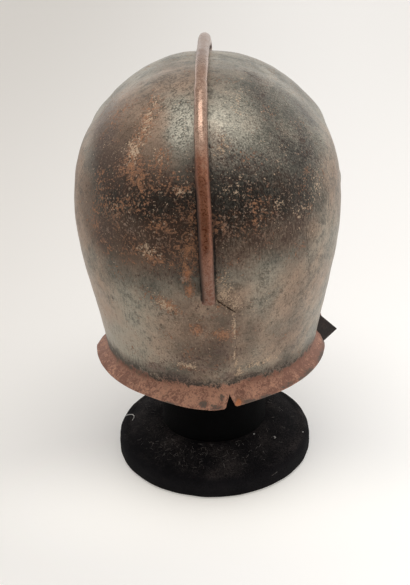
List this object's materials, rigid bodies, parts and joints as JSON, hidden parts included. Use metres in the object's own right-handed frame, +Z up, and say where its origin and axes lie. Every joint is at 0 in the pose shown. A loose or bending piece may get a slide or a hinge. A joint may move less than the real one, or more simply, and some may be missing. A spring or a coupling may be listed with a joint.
{
  "type": "armet helmet on a round display stand",
  "caption": "Armet of two skull plates joined along a rolled comb, with a lifting visor and bevor, held on a felt-covered round stand.",
  "frame": {"origin": "centre of the stand's flat underside", "axes": "+Z up, +Y the way the face looks, +X to the wearer's right"},
  "size_m": [0.2128, 0.2939, 0.3496],
  "materials": {
    "patinated_iron": "dark brown patina with rust specks, half-shiny where the iron shows",
    "dark_leather": "old dark leather, slightly shiny",
    "black_felt": "black felt with a little lint"
  },
  "bodies": {
    "skull_and_stand": {"skull_left": "patinated_iron", "skull_right": "patinated_iron", "pivot_left": "patinated_iron", "pivot_right": "patinated_iron", "closing_strap": "dark_leather", "strap_rivet": "patinated_iron", "stand_base": "black_felt", "stand_neck": "black_felt", "stand_post": "black_felt"},
    "bevor": {"bevor": "patinated_iron"},
    "visor": {"visor": "patinated_iron"}
  },
  "joints": [
    {"name": "bevor_hinge", "type": "hinge", "parent": "skull_and_stand", "child": "bevor", "pos_m": [0, 0.03, 0.233], "axis": [1, 0, 0], "range_deg": [0, 34]},
    {"name": "visor_hinge", "type": "hinge", "parent": "bevor", "child": "visor", "pos_m": [0, 0.03, 0.233], "axis": [1, 0, 0], "range_deg": [0, 38]}
  ]
}
